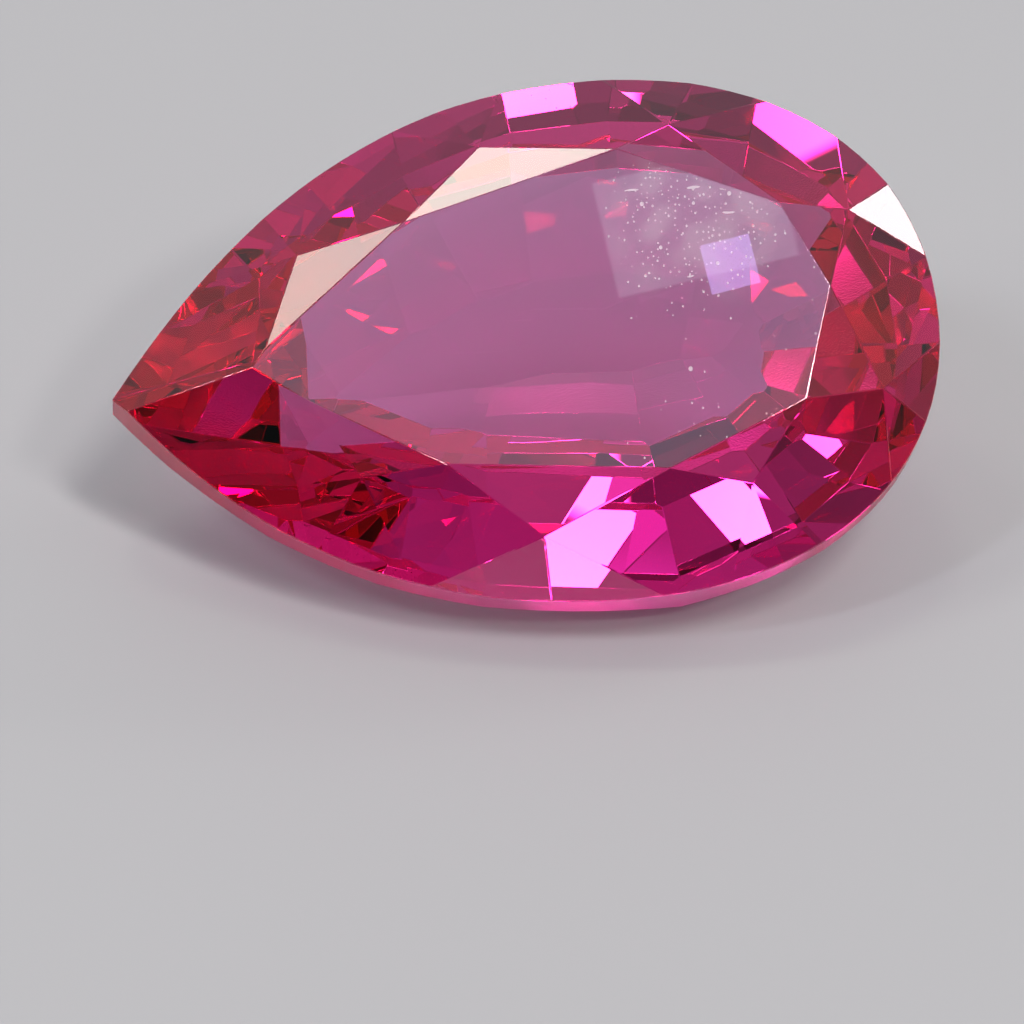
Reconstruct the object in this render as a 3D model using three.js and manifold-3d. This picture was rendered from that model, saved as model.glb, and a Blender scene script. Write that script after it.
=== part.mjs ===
// Pear-cut pink sapphire: one loose faceted stone, lying on one of its pavilion facets.
//
// Millimetres, +Z up. The stone is cut in a frame of its own: the girdle is level at z = 0, the
// table faces +Z, the point of the pear faces -X and its round head faces +X. Then it is laid
// down on the facet that it rests on, with its long axis along X and its origin on the surface,
// under the middle of its bounding box.
//
// A facet is given as a stone cutter gives it: its azimuth around the stone (degrees from the
// head, counter-clockwise), its angle from the girdle plane, and one point that it passes.
import * as THREE from 'three';
import { mergeVertices } from 'three/addons/utils/BufferGeometryUtils.js';
import Module from 'manifold-3d';

// Outline, seen from the table
const HEAD_X = 4.2; // the round end
const POINT = new THREE.Vector2(-5.8, -0.06); // the tip, a hair off the long axis as the real one
const HALF_WIDTH = 3.25;
const BACK_WIDEST_X = 0.08;
const FRONT_WIDEST_X = 0.38;
const BACK_POINT_ANGLE = 51; // degrees between the long axis and the outline at the tip
const FRONT_POINT_ANGLE = 54;
const BACK_POINT_REACH = 2.4; // how far each curve keeps its first direction
const FRONT_POINT_REACH = 2.5;
const FLANK_X = -2.45; // where the flanks start to swell into the widest part
const SHOULDER_X = 2.42; // where the shoulders start to turn into the head
const HEAD_ROUNDNESS = 2.12; // how far the head keeps its direction across the stone
const WALL_STEPS = 22; // flats per curve on the girdle wall

// Heights
const CROWN_HEIGHT = 0.76;
const PREFORM_DEPTH = 3.4; // the rough is deeper than the keel that is cut into it

// Corners of the table, in plan, from the tip along the back, round the head and along the front
const TABLE_CORNERS = {
  tip: [-4.14, -0.08],
  tipBack: [-4.08, 0.03],
  flankBack: [-2.12, 1.49],
  bellyBack: [0.53, 2.1],
  shoulderBack: [2.38, 1.2],
  head: [2.83, 0.1],
  shoulderFront: [2.33, -1.25],
  bellyFront: [0.6, -1.9],
  flankFront: [-2.02, -1.53],
  tipFront: [-3.79, -0.41],
};

// Kite-shaped bezels. The two at the tip meet in a ridge that runs from the table to the point.
const BEZELS = [
  { corner: 'tip', azimuth: 137.8, angle: 31.4 },
  { corner: 'flankBack', azimuth: 115.4, angle: 31.9 },
  { corner: 'bellyBack', azimuth: 92, angle: 33.5 },
  { corner: 'shoulderBack', azimuth: 55, angle: 29.5 },
  { corner: 'head', azimuth: 0, angle: 29 },
  { corner: 'shoulderFront', azimuth: -57, angle: 29.5 },
  { corner: 'bellyFront', azimuth: -84.5, angle: 29.5 },
  { corner: 'flankFront', azimuth: -114.5, angle: 29.5 },
  { corner: 'tip', azimuth: -129, angle: 29 },
];

// One star lies between each two bezels, on a table edge. Below its apex, two upper girdle
// facets fan out to the girdle.
const STARS = [
  { from: 'tipBack', to: 'flankBack', angle: 21.1, girdleAzimuths: [131, 120.5] },
  { from: 'flankBack', to: 'bellyBack', angle: 19.6, girdleAzimuths: [109, 98.5] },
  { from: 'bellyBack', to: 'shoulderBack', angle: 17, girdleAzimuths: [82, 67] },
  { from: 'shoulderBack', to: 'head', angle: 16.5, girdleAzimuths: [41, 17] },
  { from: 'head', to: 'shoulderFront', angle: 16.5, girdleAzimuths: [-17, -41] },
  { from: 'shoulderFront', to: 'bellyFront', angle: 18.5, girdleAzimuths: [-67, -78] },
  { from: 'bellyFront', to: 'flankFront', angle: 17, girdleAzimuths: [-93, -104] },
  { from: 'flankFront', to: 'tipFront', angle: 23.5, girdleAzimuths: [-117.5, -127] },
];

// The stone rests on the main facet of this column
const REST_AZIMUTH = -99.56;
const REST_ANGLE = 34.4;

// The pavilion is step cut: each column has an outer, a main and an inner facet, one below the
// other. girdle is the girdle's thickness there, and the two steps are how far inside the
// outline, in plan, the main and the inner facet begin.
const PAVILION = [
  { azimuth: 131, outer: 50.5, main: 36, inner: 22.5, mainStep: 0.93, innerStep: 2.05, girdle: 0.55 },
  { azimuth: 123, outer: 51, main: 35.5, inner: 22, mainStep: 0.92, innerStep: 2.05, girdle: 0.5 },
  { azimuth: 115, outer: 51.5, main: 34.4, inner: 22, mainStep: 0.97, innerStep: 2.12, girdle: 0.47 },
  { azimuth: 103, outer: 51.5, main: 35, inner: 23, mainStep: 0.97, innerStep: 2.15, girdle: 0.46 },
  { azimuth: 90, outer: 51.5, main: 34.4, inner: 23, mainStep: 0.97, innerStep: 2.15, girdle: 0.46 },
  { azimuth: 79, outer: 51.5, main: 34.6, inner: 24, mainStep: 0.97, innerStep: 2.15, girdle: 0.47 },
  { azimuth: 51, outer: 51.5, main: 35, inner: 25, mainStep: 0.95, innerStep: 2.05, girdle: 0.5 },
  { azimuth: 27, outer: 51, main: 36, inner: 26, mainStep: 0.95, innerStep: 2.02, girdle: 0.55 },
  { azimuth: 0, outer: 50, main: 36.5, inner: 27, mainStep: 0.95, innerStep: 2.05, girdle: 0.6 },
  { azimuth: -17, outer: 50, main: 36.5, inner: 27, mainStep: 0.95, innerStep: 2.05, girdle: 0.58 },
  { azimuth: -38, outer: 51, main: 36, inner: 26, mainStep: 0.95, innerStep: 1.95, girdle: 0.55 },
  { azimuth: -56, outer: 51.5, main: 35, inner: 25, mainStep: 0.95, innerStep: 2.1, girdle: 0.5 },
  { azimuth: -72, outer: 51.5, main: 34.6, inner: 24, mainStep: 0.97, innerStep: 2.2, girdle: 0.48 },
  { azimuth: REST_AZIMUTH, outer: 51.5, main: REST_ANGLE, inner: 23, mainStep: 0.94, innerStep: 2.32,
    girdle: 0.46 },
  { azimuth: -109, outer: 51.5, main: 35, inner: 22.5, mainStep: 0.93, innerStep: 2.3, girdle: 0.47 },
  { azimuth: -120, outer: 51, main: 35.5, inner: 22, mainStep: 0.9, innerStep: 2.2, girdle: 0.5 },
  { azimuth: -132, outer: 50.5, main: 36.5, inner: 22.5, mainStep: 0.88, innerStep: 2.1, girdle: 0.55 },
];

// Two flatter facets close the pavilion towards the point
const POINT_FACETS = [
  { azimuth: 141, angle: 42, girdle: 0.62 },
  { azimuth: -141, angle: 42, girdle: 0.62 },
];

const UPRIGHT = 90; // the angle of a facet that stands square to the girdle plane

const GEM_COLOUR = '#c0185c';
const GEM_ROUGHNESS = 0.03;

const radians = THREE.MathUtils.degToRad;

// Closed pear outline as a shape of four cubic curves.
function pearOutline() {
  const leave = (angle, reach) => new THREE.Vector2(
    POINT.x + reach * Math.cos(radians(angle)),
    POINT.y + reach * Math.sin(radians(angle)),
  );
  const back = leave(BACK_POINT_ANGLE, BACK_POINT_REACH);
  const front = leave(-FRONT_POINT_ANGLE, FRONT_POINT_REACH);
  const pear = new THREE.Shape();
  pear.moveTo(POINT.x, POINT.y);
  pear.bezierCurveTo(front.x, front.y, FLANK_X, -HALF_WIDTH, FRONT_WIDEST_X, -HALF_WIDTH);
  pear.bezierCurveTo(SHOULDER_X, -HALF_WIDTH, HEAD_X, -HEAD_ROUNDNESS, HEAD_X, 0);
  pear.bezierCurveTo(HEAD_X, HEAD_ROUNDNESS, SHOULDER_X, HALF_WIDTH, BACK_WIDEST_X, HALF_WIDTH);
  pear.bezierCurveTo(FLANK_X, HALF_WIDTH, back.x, back.y, POINT.x, POINT.y);
  return pear;
}

// Outward direction of a facet; side is 1 on the crown and -1 on the pavilion.
function facetNormal(azimuth, angle, side) {
  const level = Math.sin(radians(angle));
  return new THREE.Vector3(
    level * Math.cos(radians(azimuth)),
    level * Math.sin(radians(azimuth)),
    side * Math.cos(radians(angle)),
  );
}

// Facet plane through a point. The stone is kept behind it.
function facetThrough(point, normal) {
  return new THREE.Plane().setFromNormalAndCoplanarPoint(normal, point);
}

// Point of the outline that lies farthest out along an azimuth, at a height.
function girdlePoint(outline, azimuth, height) {
  const along = new THREE.Vector2(Math.cos(radians(azimuth)), Math.sin(radians(azimuth)));
  const reach = (point) => point.dot(along);
  const farthest = outline.reduce((best, point) => (reach(point) > reach(best) ? point : best));
  return new THREE.Vector3(farthest.x, farthest.y, height);
}

// Point that three planes share.
function meetingPoint(a, b, c) {
  const bc = new THREE.Vector3().crossVectors(b.normal, c.normal);
  const ca = new THREE.Vector3().crossVectors(c.normal, a.normal);
  const ab = new THREE.Vector3().crossVectors(a.normal, b.normal);
  const volume = a.normal.dot(bc);
  return bc.multiplyScalar(-a.constant)
    .addScaledVector(ca, -b.constant)
    .addScaledVector(ab, -c.constant)
    .divideScalar(volume);
}

function tableCorner(name) {
  const [x, y] = TABLE_CORNERS[name];
  return new THREE.Vector3(x, y, CROWN_HEIGHT);
}

// Star facet on the table edge between two corners.
function starFacet(star) {
  const start = tableCorner(star.from);
  const edge = tableCorner(star.to).sub(start);
  const azimuth = THREE.MathUtils.radToDeg(Math.atan2(edge.x, -edge.y));
  return facetThrough(start, facetNormal(azimuth, star.angle, 1));
}

// Upper girdle facet from a star's apex to the top edge of the girdle.
function upperGirdleFacet(apex, outline, azimuth) {
  const rim = girdlePoint(outline, azimuth, 0);
  const away = facetNormal(azimuth, UPRIGHT, 1).dot(rim.sub(apex));
  const angle = THREE.MathUtils.radToDeg(Math.atan2(apex.z, away));
  return facetThrough(apex, facetNormal(azimuth, angle, 1));
}

function crownFacets(outline) {
  const table = facetThrough(tableCorner('head'), new THREE.Vector3(0, 0, 1));
  const bezels = BEZELS.map(({ corner, azimuth, angle }) => (
    facetThrough(tableCorner(corner), facetNormal(azimuth, angle, 1))
  ));
  const stars = STARS.map(starFacet);
  const upperGirdle = STARS.flatMap((star, index) => {
    const apex = meetingPoint(bezels[index], stars[index], bezels[index + 1]);
    return star.girdleAzimuths.map((azimuth) => upperGirdleFacet(apex, outline, azimuth));
  });
  return [table, ...bezels, ...stars, ...upperGirdle];
}

// The three facets of one column, from the girdle down to the keel.
function pavilionColumn(outline, column) {
  const { azimuth } = column;
  const inward = facetNormal(azimuth, UPRIGHT, 1).negate();
  const rim = girdlePoint(outline, azimuth, -column.girdle);
  const firstDrop = column.mainStep * Math.tan(radians(column.outer));
  const mainStart = rim.clone().addScaledVector(inward, column.mainStep);
  mainStart.z -= firstDrop;
  const run = column.innerStep - column.mainStep;
  const innerStart = mainStart.clone().addScaledVector(inward, run);
  innerStart.z -= run * Math.tan(radians(column.main));
  return [
    facetThrough(rim, facetNormal(azimuth, column.outer, -1)),
    facetThrough(mainStart, facetNormal(azimuth, column.main, -1)),
    facetThrough(innerStart, facetNormal(azimuth, column.inner, -1)),
  ];
}

function pavilionFacets(outline) {
  const columns = PAVILION.flatMap((column) => pavilionColumn(outline, column));
  const closing = POINT_FACETS.map(({ azimuth, angle, girdle }) => (
    facetThrough(girdlePoint(outline, azimuth, -girdle), facetNormal(azimuth, angle, -1))
  ));
  return [...columns, ...closing];
}

// Pear-shaped rough with upright walls, which stay visible as the girdle.
function preformGeometry(pear) {
  const preform = new THREE.ExtrudeGeometry(pear, {
    depth: PREFORM_DEPTH + 2 * CROWN_HEIGHT,
    bevelEnabled: false,
    curveSegments: WALL_STEPS,
  });
  preform.translate(0, 0, -PREFORM_DEPTH);
  return preform;
}

const wasm = await Module();
wasm.setup();

function toSolid(geometry) {
  const bare = geometry.clone();
  bare.deleteAttribute('normal');
  bare.deleteAttribute('uv');
  const merged = mergeVertices(bare);
  return new wasm.Manifold(new wasm.Mesh({
    numProp: 3,
    vertProperties: new Float32Array(merged.attributes.position.array),
    triVerts: new Uint32Array(merged.index.array),
  }));
}

// Flat-shaded geometry of a solid.
function toGeometry(solid) {
  const mesh = solid.getMesh();
  const geometry = new THREE.BufferGeometry();
  geometry.setAttribute('position', new THREE.BufferAttribute(mesh.vertProperties, 3));
  geometry.setIndex(new THREE.BufferAttribute(mesh.triVerts, 1));
  const flat = geometry.toNonIndexed();
  flat.computeVertexNormals();
  return flat;
}

function cutStone() {
  const pear = pearOutline();
  const outline = pear.getPoints(WALL_STEPS);
  const facets = [...crownFacets(outline), ...pavilionFacets(outline)];
  const cut = (solid, { normal, constant }) => (
    solid.trimByPlane([-normal.x, -normal.y, -normal.z], constant)
  );
  return toGeometry(facets.reduce(cut, toSolid(preformGeometry(pear))));
}

// Turns the stone onto its resting facet, then turns it level until its long axis lies along X.
function restingTurn() {
  const down = new THREE.Vector3(0, 0, -1);
  const laid = new THREE.Quaternion().setFromUnitVectors(
    facetNormal(REST_AZIMUTH, REST_ANGLE, -1),
    down,
  );
  const longAxis = new THREE.Vector3(1, 0, 0).applyQuaternion(laid);
  const heading = -Math.atan2(longAxis.y, longAxis.x);
  const level = new THREE.Quaternion().setFromAxisAngle(new THREE.Vector3(0, 0, 1), heading);
  return level.multiply(laid);
}

const gem = new THREE.Mesh(cutStone(), new THREE.MeshStandardMaterial({
  color: GEM_COLOUR,
  roughness: GEM_ROUGHNESS,
  metalness: 0,
}));
gem.name = 'sapphire';
gem.quaternion.copy(restingTurn());
gem.updateMatrixWorld();

const extent = new THREE.Box3().setFromObject(gem, true);
const middle = extent.getCenter(new THREE.Vector3());
gem.position.set(-middle.x, -middle.y, -extent.min.z);

const stone = new THREE.Group();
stone.add(gem);

export default stone;
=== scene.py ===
"""Pear-cut pink sapphire, lying on one of its facets, in a plain soft studio.

The stone's facets come from the CAD frame. Here its edges get the narrow rounding that polishing
leaves, its girdle its ground finish, its table its dust, and its crystal its colour and clearness.
"""

import logging
import math
from dataclasses import dataclass, field
from enum import Enum
from typing import Any

import bpy
from mathutils import Matrix, Vector


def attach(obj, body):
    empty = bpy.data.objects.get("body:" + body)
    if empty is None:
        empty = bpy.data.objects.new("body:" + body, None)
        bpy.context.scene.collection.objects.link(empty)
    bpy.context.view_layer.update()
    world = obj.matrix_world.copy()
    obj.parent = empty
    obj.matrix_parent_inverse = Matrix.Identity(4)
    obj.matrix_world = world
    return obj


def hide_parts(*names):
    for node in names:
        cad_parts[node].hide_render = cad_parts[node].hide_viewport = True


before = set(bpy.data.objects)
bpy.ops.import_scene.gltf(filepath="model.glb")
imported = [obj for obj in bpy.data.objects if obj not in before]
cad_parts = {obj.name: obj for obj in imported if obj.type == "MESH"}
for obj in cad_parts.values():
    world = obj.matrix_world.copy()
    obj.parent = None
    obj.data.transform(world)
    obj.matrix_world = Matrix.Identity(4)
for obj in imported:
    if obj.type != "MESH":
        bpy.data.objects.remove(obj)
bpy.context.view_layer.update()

MM = 0.001
PARABOLA_TOP = 0.25  # the most that x * (1 - x) reaches
LOG = logging.getLogger("sapphire")

Colour = tuple[float, float, float]
Point = tuple[float, float, float]


class Sock:
    """A shader value that Python expressions can be written with."""

    def __init__(self, graph: "Graph", socket: Any) -> None:
        """Wraps an output socket.

        Args:
            graph: The node graph that new Math nodes go into.
            socket: The output socket.
        """
        self.graph = graph
        self.socket = socket

    def also(self, output: str) -> "Sock":
        """Another output of the same node.

        Args:
            output: The output's name.

        Returns:
            The wrapped output.
        """
        return Sock(self.graph, self.socket.node.outputs[output])

    def _math(self, operation: str, first: Any, second: Any) -> "Sock":
        """Adds one Math node.

        Args:
            operation: The Math node's operation.
            first: Its first value.
            second: Its second value.

        Returns:
            The node's result.
        """
        return self.graph.add("ShaderNodeMath", {"operation": operation}, {0: first, 1: second})

    def __add__(self, other: Any) -> "Sock":
        """Sum."""
        return self._math("ADD", self, other)

    __radd__ = __add__

    def __sub__(self, other: Any) -> "Sock":
        """Difference."""
        return self._math("SUBTRACT", self, other)

    def __rsub__(self, other: Any) -> "Sock":
        """Difference, from a plain number."""
        return self._math("SUBTRACT", other, self)

    def __mul__(self, other: Any) -> "Sock":
        """Product."""
        return self._math("MULTIPLY", self, other)

    __rmul__ = __mul__

    def __lt__(self, other: Any) -> "Sock":
        """1 where this value is the smaller one, and 0 elsewhere."""
        return self._math("LESS_THAN", self, other)

    def or_more(self, other: Any) -> "Sock":
        """The larger of two values."""
        return self._math("MAXIMUM", self, other)

    def ramp(self, low: float, high: float) -> "Sock":
        """Goes smoothly from 0 at one value to 1 at another.

        Args:
            low: The value that becomes 0.
            high: The value that becomes 1.

        Returns:
            The ramped value.
        """
        settings = {"interpolation_type": "SMOOTHSTEP"}
        return self.graph.add("ShaderNodeMapRange", settings, {"Value": self, 1: low, 2: high})


class Graph:
    """The node tree of a material, a light or the world."""

    def __init__(self, owner: Any) -> None:
        """Empties the owner's node tree.

        Args:
            owner: A material, a light or a world.
        """
        owner.use_nodes = True
        self.tree = owner.node_tree
        self.tree.nodes.clear()

    def add(
        self, kind: str, settings: dict[str, Any], values: dict[Any, Any], output: Any = 0
    ) -> Sock:
        """Adds a node.

        Args:
            kind: The node's type.
            settings: Its properties, by name.
            values: What goes into its sockets, by name or number: links or constants.
            output: The output that is used, by name or number.

        Returns:
            The wrapped output.
        """
        node = self._node(kind, settings, values)
        return Sock(self, node.outputs[output])

    def end(self, kind: str, values: dict[Any, Any]) -> None:
        """Adds the output node.

        Args:
            kind: The node's type.
            values: The shaders that go into its sockets, by name.
        """
        self._node(kind, {}, values)

    def _node(self, kind: str, settings: dict[str, Any], values: dict[Any, Any]) -> Any:
        """Makes a node, sets it up and links it.

        Args:
            kind: The node's type.
            settings: Its properties, by name.
            values: What goes into its sockets, by name or number: links or constants.

        Returns:
            The node.
        """
        node = self.tree.nodes.new(kind)
        for name, value in settings.items():
            setattr(node, name, value)
        for name, value in values.items():
            if isinstance(value, Sock):
                self.tree.links.new(value.socket, node.inputs[name])
            else:
                node.inputs[name].default_value = value
        return node


def seen_from(azimuth: float, elevation: float) -> Vector:
    """Direction from the stone to something that stands around it.

    Args:
        azimuth: Degrees counter-clockwise from the front.
        elevation: Degrees above the floor.

    Returns:
        The unit direction.
    """
    turn = math.radians(azimuth)
    rise = math.radians(elevation)
    level = math.cos(rise)
    return Vector((level * math.sin(turn), -level * math.cos(turn), math.sin(rise)))


@dataclass
class PhotoCamera:
    """Camera that stands where the photograph was taken, and looks down on the stone.

    Lengths are millimetres and angles are degrees.
    """

    aim: Point = (-0.0139, -0.0386, -0.1004)
    distance: float = 70.8
    azimuth: float = -11.73
    elevation: float = 40.6
    roll: float = 4.95
    lens: float = 202.4
    sensor: float = 36.0
    nearest: float = 1.0

    def build(self) -> bpy.types.Object:
        """Adds the camera and makes it the scene's camera.

        Returns:
            The camera object.
        """
        back = seen_from(self.azimuth, self.elevation)
        turn = math.radians(self.azimuth)
        level = Vector((math.cos(turn), math.sin(turn), 0.0))
        right = Matrix.Rotation(math.radians(self.roll), 3, back) @ level
        data = bpy.data.cameras.new("photo_camera")
        data.lens = self.lens
        data.sensor_width = self.sensor
        data.clip_start = self.nearest * MM
        camera = bpy.data.objects.new("photo_camera", data)
        bpy.context.scene.collection.objects.link(camera)
        facing = Matrix((right, back.cross(right), back)).transposed().to_4x4()
        place = Vector(self.aim) + back * self.distance
        camera.matrix_world = Matrix.Translation(place * MM) @ facing
        bpy.context.scene.camera = camera
        return camera


class Lamp(Enum):
    """Colours of the studio's lamps."""

    WARM = (0.93, 0.94, 0.82)
    WHITE = (1.0, 0.95, 0.95)
    COOL = (0.82, 0.85, 1.0)
    SKY = (0.6, 0.6, 1.0)
    VIOLET = (0.55, 0.4, 1.0)


@dataclass
class Softbox:
    """A rectangular softbox that faces the stone, brightest in its middle.

    Its place is degrees around and above the stone, and its size is the degrees that it fills. The
    edge is the share of its cloth that dims, and its distance is in metres.
    """

    name: str
    azimuth: float
    elevation: float
    width: float
    height: float
    radiance: float
    lamp: Lamp
    edge: float = 0.12
    distance: float = 0.4

    def build(self) -> bpy.types.Object:
        """Adds the light.

        Returns:
            The light object.
        """
        data = bpy.data.lights.new(self.name, "AREA")
        data.shape = "RECTANGLE"
        data.size = 2 * self.distance * math.tan(math.radians(self.width) / 2)
        data.size_y = 2 * self.distance * math.tan(math.radians(self.height) / 2)
        data.energy = self.radiance * data.size * data.size_y * math.pi
        data.color = self.lamp.value
        self.soften(data)
        light = bpy.data.objects.new(self.name, data)
        bpy.context.scene.collection.objects.link(light)
        out = seen_from(self.azimuth, self.elevation)
        facing = out.to_track_quat("Z", "Y").to_matrix().to_4x4()
        light.matrix_world = Matrix.Translation(out * self.distance) @ facing
        return light

    def soften(self, data: bpy.types.Light) -> None:
        """Dims the lamp's cloth towards its four edges.

        Args:
            data: The light's data.
        """
        graph = Graph(data)
        cloth = graph.add("ShaderNodeTexCoord", {}, {}, "UV")
        across = graph.add("ShaderNodeSeparateXYZ", {}, {0: cloth}, "X")
        bright = self.fade(across) * self.fade(across.also("Y"))
        glow = graph.add("ShaderNodeEmission", {}, {"Strength": bright})
        graph.end("ShaderNodeOutputLight", {"Surface": glow})

    def fade(self, place: Sock) -> Sock:
        """Works out how bright the cloth is between two of its edges.

        Args:
            place: The place on the cloth, from 0 at one edge to 1 at the other.

        Returns:
            0 at both edges, and 1 inside.
        """
        return (place * (1 - place)).ramp(0, self.edge * PARABOLA_TOP)


@dataclass
class Studio:
    """The floor, the lights and the walls around them.

    The walls are brightest towards one direction, in degrees, and fade between two cosines of the
    angle from it. The floor is measured in metres.
    """

    floor_size: float = 1.0
    floor_gap: float = 0.01 * MM
    floor_colour: Colour = (0.46, 0.462, 0.462)
    floor_roughness: float = 0.5
    softboxes: tuple[Softbox, ...] = (
        Softbox("window", -126, 60, 10, 9, 6, Lamp.WARM),
        Softbox("high_window", -160, 70, 9, 7, 9, Lamp.WARM),
        Softbox("key", 28, 64.5, 7, 14, 38, Lamp.WHITE),
        Softbox("side", -67, 51, 4, 10, 36, Lamp.COOL),
        Softbox("low_side", -78, 20, 11, 8, 20, Lamp.WHITE),
        Softbox("right_front", 31, 49, 11, 5, 34, Lamp.WHITE),
        Softbox("front", -15, 40, 6, 5, 24, Lamp.WHITE),
        Softbox("low_right", 113, 26, 13, 7, 10, Lamp.WHITE),
        Softbox("ceiling", 3, 72, 22, 16, 1.1, Lamp.SKY, edge=0.4),
        Softbox("panel", 8.9, 73.1, 2.2, 1.4, 1.1, Lamp.COOL),
        Softbox("glint", 9.8, 72.5, 0.6, 0.6, 5, Lamp.VIOLET),
    )
    wall_azimuth: float = 168
    wall_elevation: float = 57
    wall_dark: Colour = (0.015, 0.015, 0.017)
    wall_bright: Colour = (0.47, 0.475, 0.50)
    wall_fade: tuple[float, float] = (-0.45, 0.8)
    bounces: int = 12

    def build(self) -> None:
        """Builds all of the studio and sets how light travels in it."""
        self.build_floor()
        for softbox in self.softboxes:
            softbox.build()
        self.build_walls()
        scene = bpy.context.scene
        scene.view_settings.view_transform = "Standard"
        scene.cycles.max_bounces = self.bounces
        scene.cycles.transmission_bounces = self.bounces
        scene.cycles.glossy_bounces = self.bounces
        scene.cycles.use_light_tree = False

    def build_floor(self) -> bpy.types.Object:
        """Adds the pale floor, a hair under the stone so that the two never share a plane.

        Returns:
            The floor object.
        """
        bpy.ops.mesh.primitive_plane_add(size=self.floor_size, location=(0, 0, -self.floor_gap))
        floor = bpy.context.object
        floor.name = "floor"
        pale = bpy.data.materials.new("pale_floor")
        graph = Graph(pale)
        matte = graph.add("ShaderNodeBsdfPrincipled", {}, {
            "Base Color": (*self.floor_colour, 1),
            "Roughness": self.floor_roughness,
        })
        graph.end("ShaderNodeOutputMaterial", {"Surface": matte})
        floor.data.materials.append(pale)
        return floor

    def build_walls(self) -> None:
        """Makes the surroundings pale behind the stone and dark behind the camera."""
        world = bpy.data.worlds.new("surroundings")
        bpy.context.scene.world = world
        graph = Graph(world)
        look = graph.add("ShaderNodeTexCoord", {}, {}, "Generated")
        wall = seen_from(self.wall_azimuth, self.wall_elevation)
        cosine = {"operation": "DOT_PRODUCT"}
        toward = graph.add("ShaderNodeVectorMath", cosine, {0: look, 1: wall}, "Value")
        colour = graph.add("ShaderNodeMix", {"data_type": "RGBA"}, {
            0: toward.ramp(*self.wall_fade),
            6: (*self.wall_dark, 1),
            7: (*self.wall_bright, 1),
        }, 2)
        glow = graph.add("ShaderNodeBackground", {}, {"Color": colour})
        graph.end("ShaderNodeOutputWorld", {"Surface": glow})


@dataclass(frozen=True)
class Dust:
    """Dust at the head end of the table: fine and coarse grains, fibres and a thin film.

    Lengths are millimetres. A share is how many of the possible places hold a grain. The dust is
    thickest within the first distance from its middle, and only strays lie beyond the second one.
    None lies nearer to the tip than its start, measured along the stone.
    """

    middle: Point = (2.0, 0.4, 4.05)
    gathered: tuple[float, float] = (0.5, 1.3)
    start: float = 0.9
    stray_share: float = 0.03
    gathered_share: float = 0.5
    fine_spacing: float = 0.062
    fine_radius: float = 0.013
    coarse_share: float = 0.5
    coarse_spacing: float = 0.22
    coarse_radius: float = 0.03
    smallest: float = 0.3
    fibre_spacing: float = 0.16
    fibre_radius: float = 0.013
    fibre_stretch: float = 6.0
    fibre_turn: float = 35.0
    fibre_curl: float = 0.12
    curl_scale: float = 2.6
    film: float = 0.13
    film_scale: float = 3.0
    film_clouds: tuple[float, float] = (0.3, 0.7)
    cover: float = 0.55
    colour: Colour = (0.86, 0.78, 0.80)
    roughness: float = 0.9

    def shader(self, graph: Graph) -> Sock:
        """Adds the dust's own matte surface.

        Args:
            graph: The material's nodes.

        Returns:
            The shader.
        """
        return graph.add("ShaderNodeBsdfPrincipled", {}, {
            "Base Color": (*self.colour, 1),
            "Roughness": self.roughness,
        })

    def mask(self, graph: Graph) -> Sock:
        """Works out how much of the surface the dust covers.

        Args:
            graph: The material's nodes.

        Returns:
            0 where the facet is clean, and up to the cover where a grain lies.
        """
        metres = graph.add("ShaderNodeTexCoord", {}, {}, "Object")
        scale = {"operation": "SCALE"}
        place = graph.add("ShaderNodeVectorMath", scale, {0: metres, "Scale": 1 / MM})
        between = {"operation": "DISTANCE"}
        away = graph.add("ShaderNodeVectorMath", between, {0: place, 1: self.middle}, "Value")
        near = 1 - away.ramp(*self.gathered)
        share = near * self.gathered_share + self.stray_share
        some = share * self.coarse_share
        drawn = self.stretch(graph, place)
        fine = self.grains(graph, place, share, self.fine_spacing, self.fine_radius)
        coarse = self.grains(graph, place, some, self.coarse_spacing, self.coarse_radius)
        fibres = self.grains(graph, drawn, share, self.fibre_spacing, self.fibre_radius)
        waves = {"Vector": place, "Scale": self.film_scale, "Detail": 0}
        cloud = graph.add("ShaderNodeTexNoise", {}, waves)
        film = near * cloud.ramp(*self.film_clouds) * self.film
        return (fine.or_more(coarse).or_more(fibres) * self.cover).or_more(film)

    def stretch(self, graph: Graph, place: Sock) -> Sock:
        """Bends and draws out the places, so that grains become curly fibres.

        Args:
            graph: The material's nodes.
            place: The place on the stone, in millimetres.

        Returns:
            The place among the fibres.
        """
        waves = {"Vector": place, "Scale": self.curl_scale, "Detail": 0}
        curl = graph.add("ShaderNodeTexNoise", {}, waves, "Color")
        scale = {"operation": "SCALE"}
        shift = graph.add("ShaderNodeVectorMath", scale, {0: curl, "Scale": self.fibre_curl})
        bent = graph.add("ShaderNodeVectorMath", {"operation": "ADD"}, {0: place, 1: shift})
        return graph.add("ShaderNodeMapping", {}, {
            "Vector": bent,
            "Rotation": (0, 0, math.radians(self.fibre_turn)),
            "Scale": (1 / self.fibre_stretch, 1, 1),
        })

    def grains(self, graph: Graph, place: Sock, share: Sock, spacing: float, radius: float) -> Sock:
        """Scatters grains of one size.

        Args:
            graph: The material's nodes.
            place: The place on the stone, in millimetres.
            share: How many of the possible places hold a grain.
            spacing: Millimetres between the possible places.
            radius: A large grain's radius.

        Returns:
            1 on a grain, and 0 between them.
        """
        settings = {"voronoi_dimensions": "2D"}
        values = {"Vector": place, "Scale": 1 / spacing}
        cell = graph.add("ShaderNodeTexVoronoi", settings, values, "Distance")
        chance = graph.add("ShaderNodeSeparateColor", {}, {0: cell.also("Color")}, "Red")
        large = radius / spacing
        small = self.smallest * large
        size = chance.also("Green") * (large - small) + small
        return (cell < size) * (chance < share)


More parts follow.
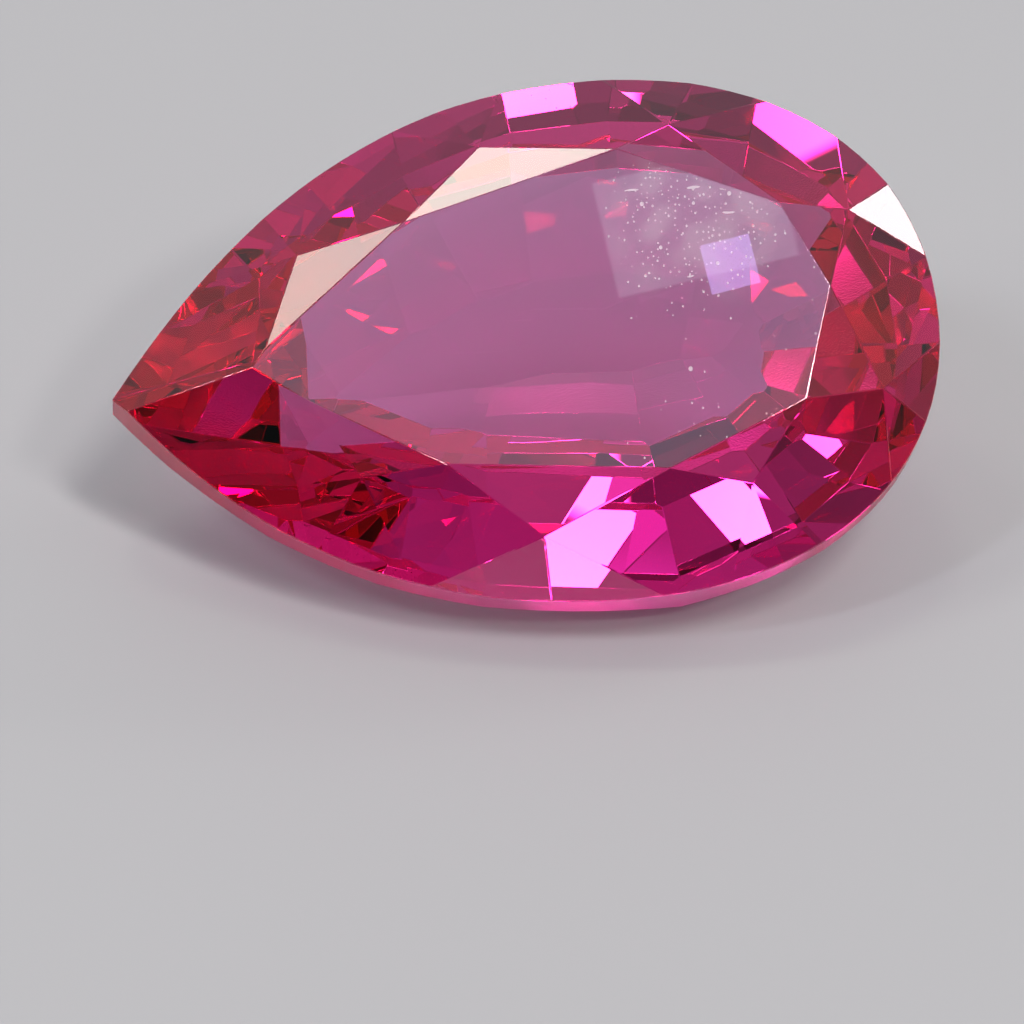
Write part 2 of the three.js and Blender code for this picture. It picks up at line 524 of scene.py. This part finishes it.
@dataclass(frozen=True)
class Crystal:
    """Clear pinkish-red corundum with polished facets and a ground girdle.

    The absorption is per metre, for red, green and blue. The grinding has so many pits per
    millimetre.
    """

    index: float = 1.77
    absorption: Colour = (14.0, 450.0, 155.0)
    girdle_roughness: float = 0.35
    grind_scale: float = 45.0
    grind_depth: float = 0.004 * MM
    dust: Dust = field(default_factory=Dust)

    def build(self) -> bpy.types.Material:
        """Makes the material.

        Returns:
            The material.
        """
        crystal = bpy.data.materials.new("crystal")
        crystal.cycles.volume_sampling = "DISTANCE"
        graph = Graph(crystal)
        polished = self.surface(graph, {"Roughness": 0.0})
        grinding = {"Roughness": self.girdle_roughness, "Normal": self.pits(graph)}
        ground = self.surface(graph, grinding)
        dusty = self.mix(graph, self.dust.mask(graph), polished, self.dust.shader(graph))
        facets = self.mix(graph, self.part(graph, "dusty"), polished, dusty)
        whole = self.mix(graph, self.part(graph, "girdle"), facets, ground)
        density = max(self.absorption)
        passed = [1 - part / density for part in self.absorption]
        tint = {"Color": (*passed, 1), "Density": density}
        bulk = graph.add("ShaderNodeVolumeAbsorption", {}, tint)
        graph.end("ShaderNodeOutputMaterial", {"Surface": whole, "Volume": bulk})
        return crystal

    def surface(self, graph: Graph, values: dict[str, Any]) -> Sock:
        """Adds a clear surface.

        Args:
            graph: The material's nodes.
            values: What sets this surface apart, by socket name.

        Returns:
            The shader.
        """
        clear = {"Base Color": (1, 1, 1, 1), "IOR": self.index, "Transmission Weight": 1.0}
        return graph.add("ShaderNodeBsdfPrincipled", {}, clear | values)

    def part(self, graph: Graph, name: str) -> Sock:
        """1 on one part of the stone, and 0 elsewhere."""
        return graph.add("ShaderNodeAttribute", {"attribute_name": name}, {}, "Fac")

    def mix(self, graph: Graph, share: Sock, first: Sock, second: Sock) -> Sock:
        """Mixes two shaders.

        Args:
            graph: The material's nodes.
            share: How much of the second shader there is.
            first: The first shader.
            second: The second shader.

        Returns:
            The mixed shader.
        """
        return graph.add("ShaderNodeMixShader", {}, {0: share, 1: first, 2: second})

    def pits(self, graph: Graph) -> Sock:
        """Makes the fine pits that grinding leaves on the girdle.

        Args:
            graph: The material's nodes.

        Returns:
            The normal.
        """
        metres = graph.add("ShaderNodeTexCoord", {}, {}, "Object")
        fine = {"Vector": metres, "Scale": self.grind_scale / MM}
        depth = graph.add("ShaderNodeTexNoise", {}, fine)
        return graph.add("ShaderNodeBump", {}, {"Height": depth, "Distance": self.grind_depth})


@dataclass
class CutStone:
    """The stone, with the narrow rounding that polishing leaves on its edges.

    Edges that bend by more than the sharp angle are trimmed to the widths given here. A face whose
    normal leaves the girdle plane by less than the wall tolerance belongs to the girdle.
    """

    name: str = "polished_sapphire"
    weld: float = 0.001 * MM
    flat: float = math.radians(0.3)
    sharp: float = math.radians(6.5)
    crown_edge: float = 0.026 * MM
    pavilion_edge: float = 0.014 * MM
    cut_tolerance: float = 1e-6 * MM
    wall_tolerance: float = 0.02
    same_normal: float = math.radians(0.1)
    crystal: Crystal = field(default_factory=Crystal)

    def build(self) -> bpy.types.Object:
        """Builds and dresses the stone.

        Returns:
            The stone's object.
        """
        stone = self.copy_cad()
        table = max(stone.data.polygons, key=lambda polygon: polygon.area).normal.copy()
        rounded = []
        for point, normal in self.chamfers(stone, table):
            self.trim(point, normal)
            rounded.append(normal)
        self.part_table(stone, table)
        self.mark(stone, table)
        self.shade(stone, rounded)
        stone.data.materials.clear()
        stone.data.materials.append(self.crystal.build())
        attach(stone, "root")
        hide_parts("sapphire")
        return stone

    def copy_cad(self) -> bpy.types.Object:
        """Copies the CAD node and joins its loose triangles into whole facets.

        Returns:
            The copy.
        """
        bpy.ops.object.select_all(action="DESELECT")
        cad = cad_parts["sapphire"]
        cad.select_set(True)
        bpy.context.view_layer.objects.active = cad
        bpy.ops.object.duplicate()
        stone = bpy.context.object
        stone.name = self.name
        stone.data.name = self.name
        bpy.ops.object.mode_set(mode="EDIT")
        bpy.ops.mesh.select_all(action="SELECT")
        bpy.ops.mesh.remove_doubles(threshold=self.weld)
        bpy.ops.mesh.dissolve_limited(angle_limit=self.flat)
        bpy.ops.object.mode_set(mode="OBJECT")
        return stone

    def chamfers(self, stone: bpy.types.Object, table: Vector) -> list[tuple[Vector, Vector]]:
        """Works out the cut that takes each sharp edge off.

        Args:
            stone: The stone, still sharp.
            table: The direction that its table faces.

        Returns:
            A point and the outward normal of each cut.
        """
        mesh = stone.data
        sides: dict[int, list[Vector]] = {}
        for polygon in mesh.polygons:
            for loop in polygon.loop_indices:
                sides.setdefault(mesh.loops[loop].edge_index, []).append(polygon.normal)
        cuts = []
        for edge in mesh.edges:
            first, second = sides[edge.index]
            bend = first.angle(second)
            if bend > self.sharp:
                normal = (first + second).normalized()
                width = self.crown_edge if normal.dot(table) > 0 else self.pavilion_edge
                depth = width / 2 * math.tan(bend / 2)
                cuts.append((mesh.vertices[edge.vertices[0]].co - normal * depth, normal))
        return cuts

    def trim(self, point: Vector, normal: Vector) -> None:
        """Cuts off what lies outside a plane, and closes the cut.

        Args:
            point: A point of the plane.
            normal: Its outward normal.
        """
        bpy.ops.object.mode_set(mode="EDIT")
        bpy.ops.mesh.select_all(action="SELECT")
        bpy.ops.mesh.bisect(
            plane_co=point,
            plane_no=normal,
            use_fill=True,
            clear_outer=True,
            threshold=self.cut_tolerance,
        )

    def part_table(self, stone: bpy.types.Object, table: Vector) -> None:
        """Parts the dusty end of the table from its clean end, in the same plane.

        Args:
            stone: The trimmed stone.
            table: The direction that its table faces.
        """
        bpy.ops.mesh.select_mode(type="FACE")
        bpy.ops.object.mode_set(mode="OBJECT")
        for polygon in stone.data.polygons:
            polygon.select = polygon.normal.angle(table) < self.same_normal
        bpy.ops.object.mode_set(mode="EDIT")
        start = (self.crystal.dust.start * MM, 0, 0)
        bpy.ops.mesh.bisect(plane_co=start, plane_no=(1, 0, 0), threshold=self.cut_tolerance)
        bpy.ops.object.mode_set(mode="OBJECT")

    def mark(self, stone: bpy.types.Object, table: Vector) -> None:
        """Marks the faces of the girdle and of the table's dusty end for the finish.

        Args:
            stone: The trimmed stone.
            table: The direction that its table faces.
        """
        mesh = stone.data
        on_girdle = mesh.attributes.new("girdle", "FLOAT", "FACE")
        is_dusty = mesh.attributes.new("dusty", "FLOAT", "FACE")
        for polygon in mesh.polygons:
            rise = abs(polygon.normal.dot(table))
            on_girdle.data[polygon.index].value = float(rise < self.wall_tolerance)
            on_table = polygon.normal.angle(table) < self.same_normal
            at_end = polygon.center.x > self.crystal.dust.start * MM
            is_dusty.data[polygon.index].value = float(on_table and at_end)

    def shade(self, stone: bpy.types.Object, rounded: list[Vector]) -> None:
        """Shades the trimmed edges and the girdle round, and keeps the facets flat.

        A trimmed edge turns from the facet on its one side to the facet on its other side.

        Args:
            stone: The trimmed stone.
            rounded: The normals of the trimmed edges.
        """
        mesh = stone.data
        girdle = mesh.attributes["girdle"].data
        firm: dict[int, Vector] = {}
        loose: dict[int, Vector] = {}
        for polygon in mesh.polygons:
            turns = (polygon.normal.angle(normal) for normal in rounded)
            trimmed = min(turns) < self.same_normal
            polygon.use_smooth = trimmed or girdle[polygon.index].value > 0
            sums = loose if trimmed else firm
            for vertex in polygon.vertices:
                sums[vertex] = sums.get(vertex, Vector()) + polygon.normal
        normals = []
        for polygon in mesh.polygons:
            for vertex in polygon.vertices:
                around = firm.get(vertex) or loose[vertex]
                normals.append((around if polygon.use_smooth else polygon.normal).normalized())
        mesh.normals_split_custom_set(normals)


def main() -> None:
    """Builds the camera, the stone and the studio."""
    logging.basicConfig(level=logging.INFO, format="%(message)s")
    PhotoCamera().build()
    stone = CutStone().build()
    LOG.info("%s: %d faces", stone.name, len(stone.data.polygons))
    Studio().build()


if __name__ == "__main__":
    main()
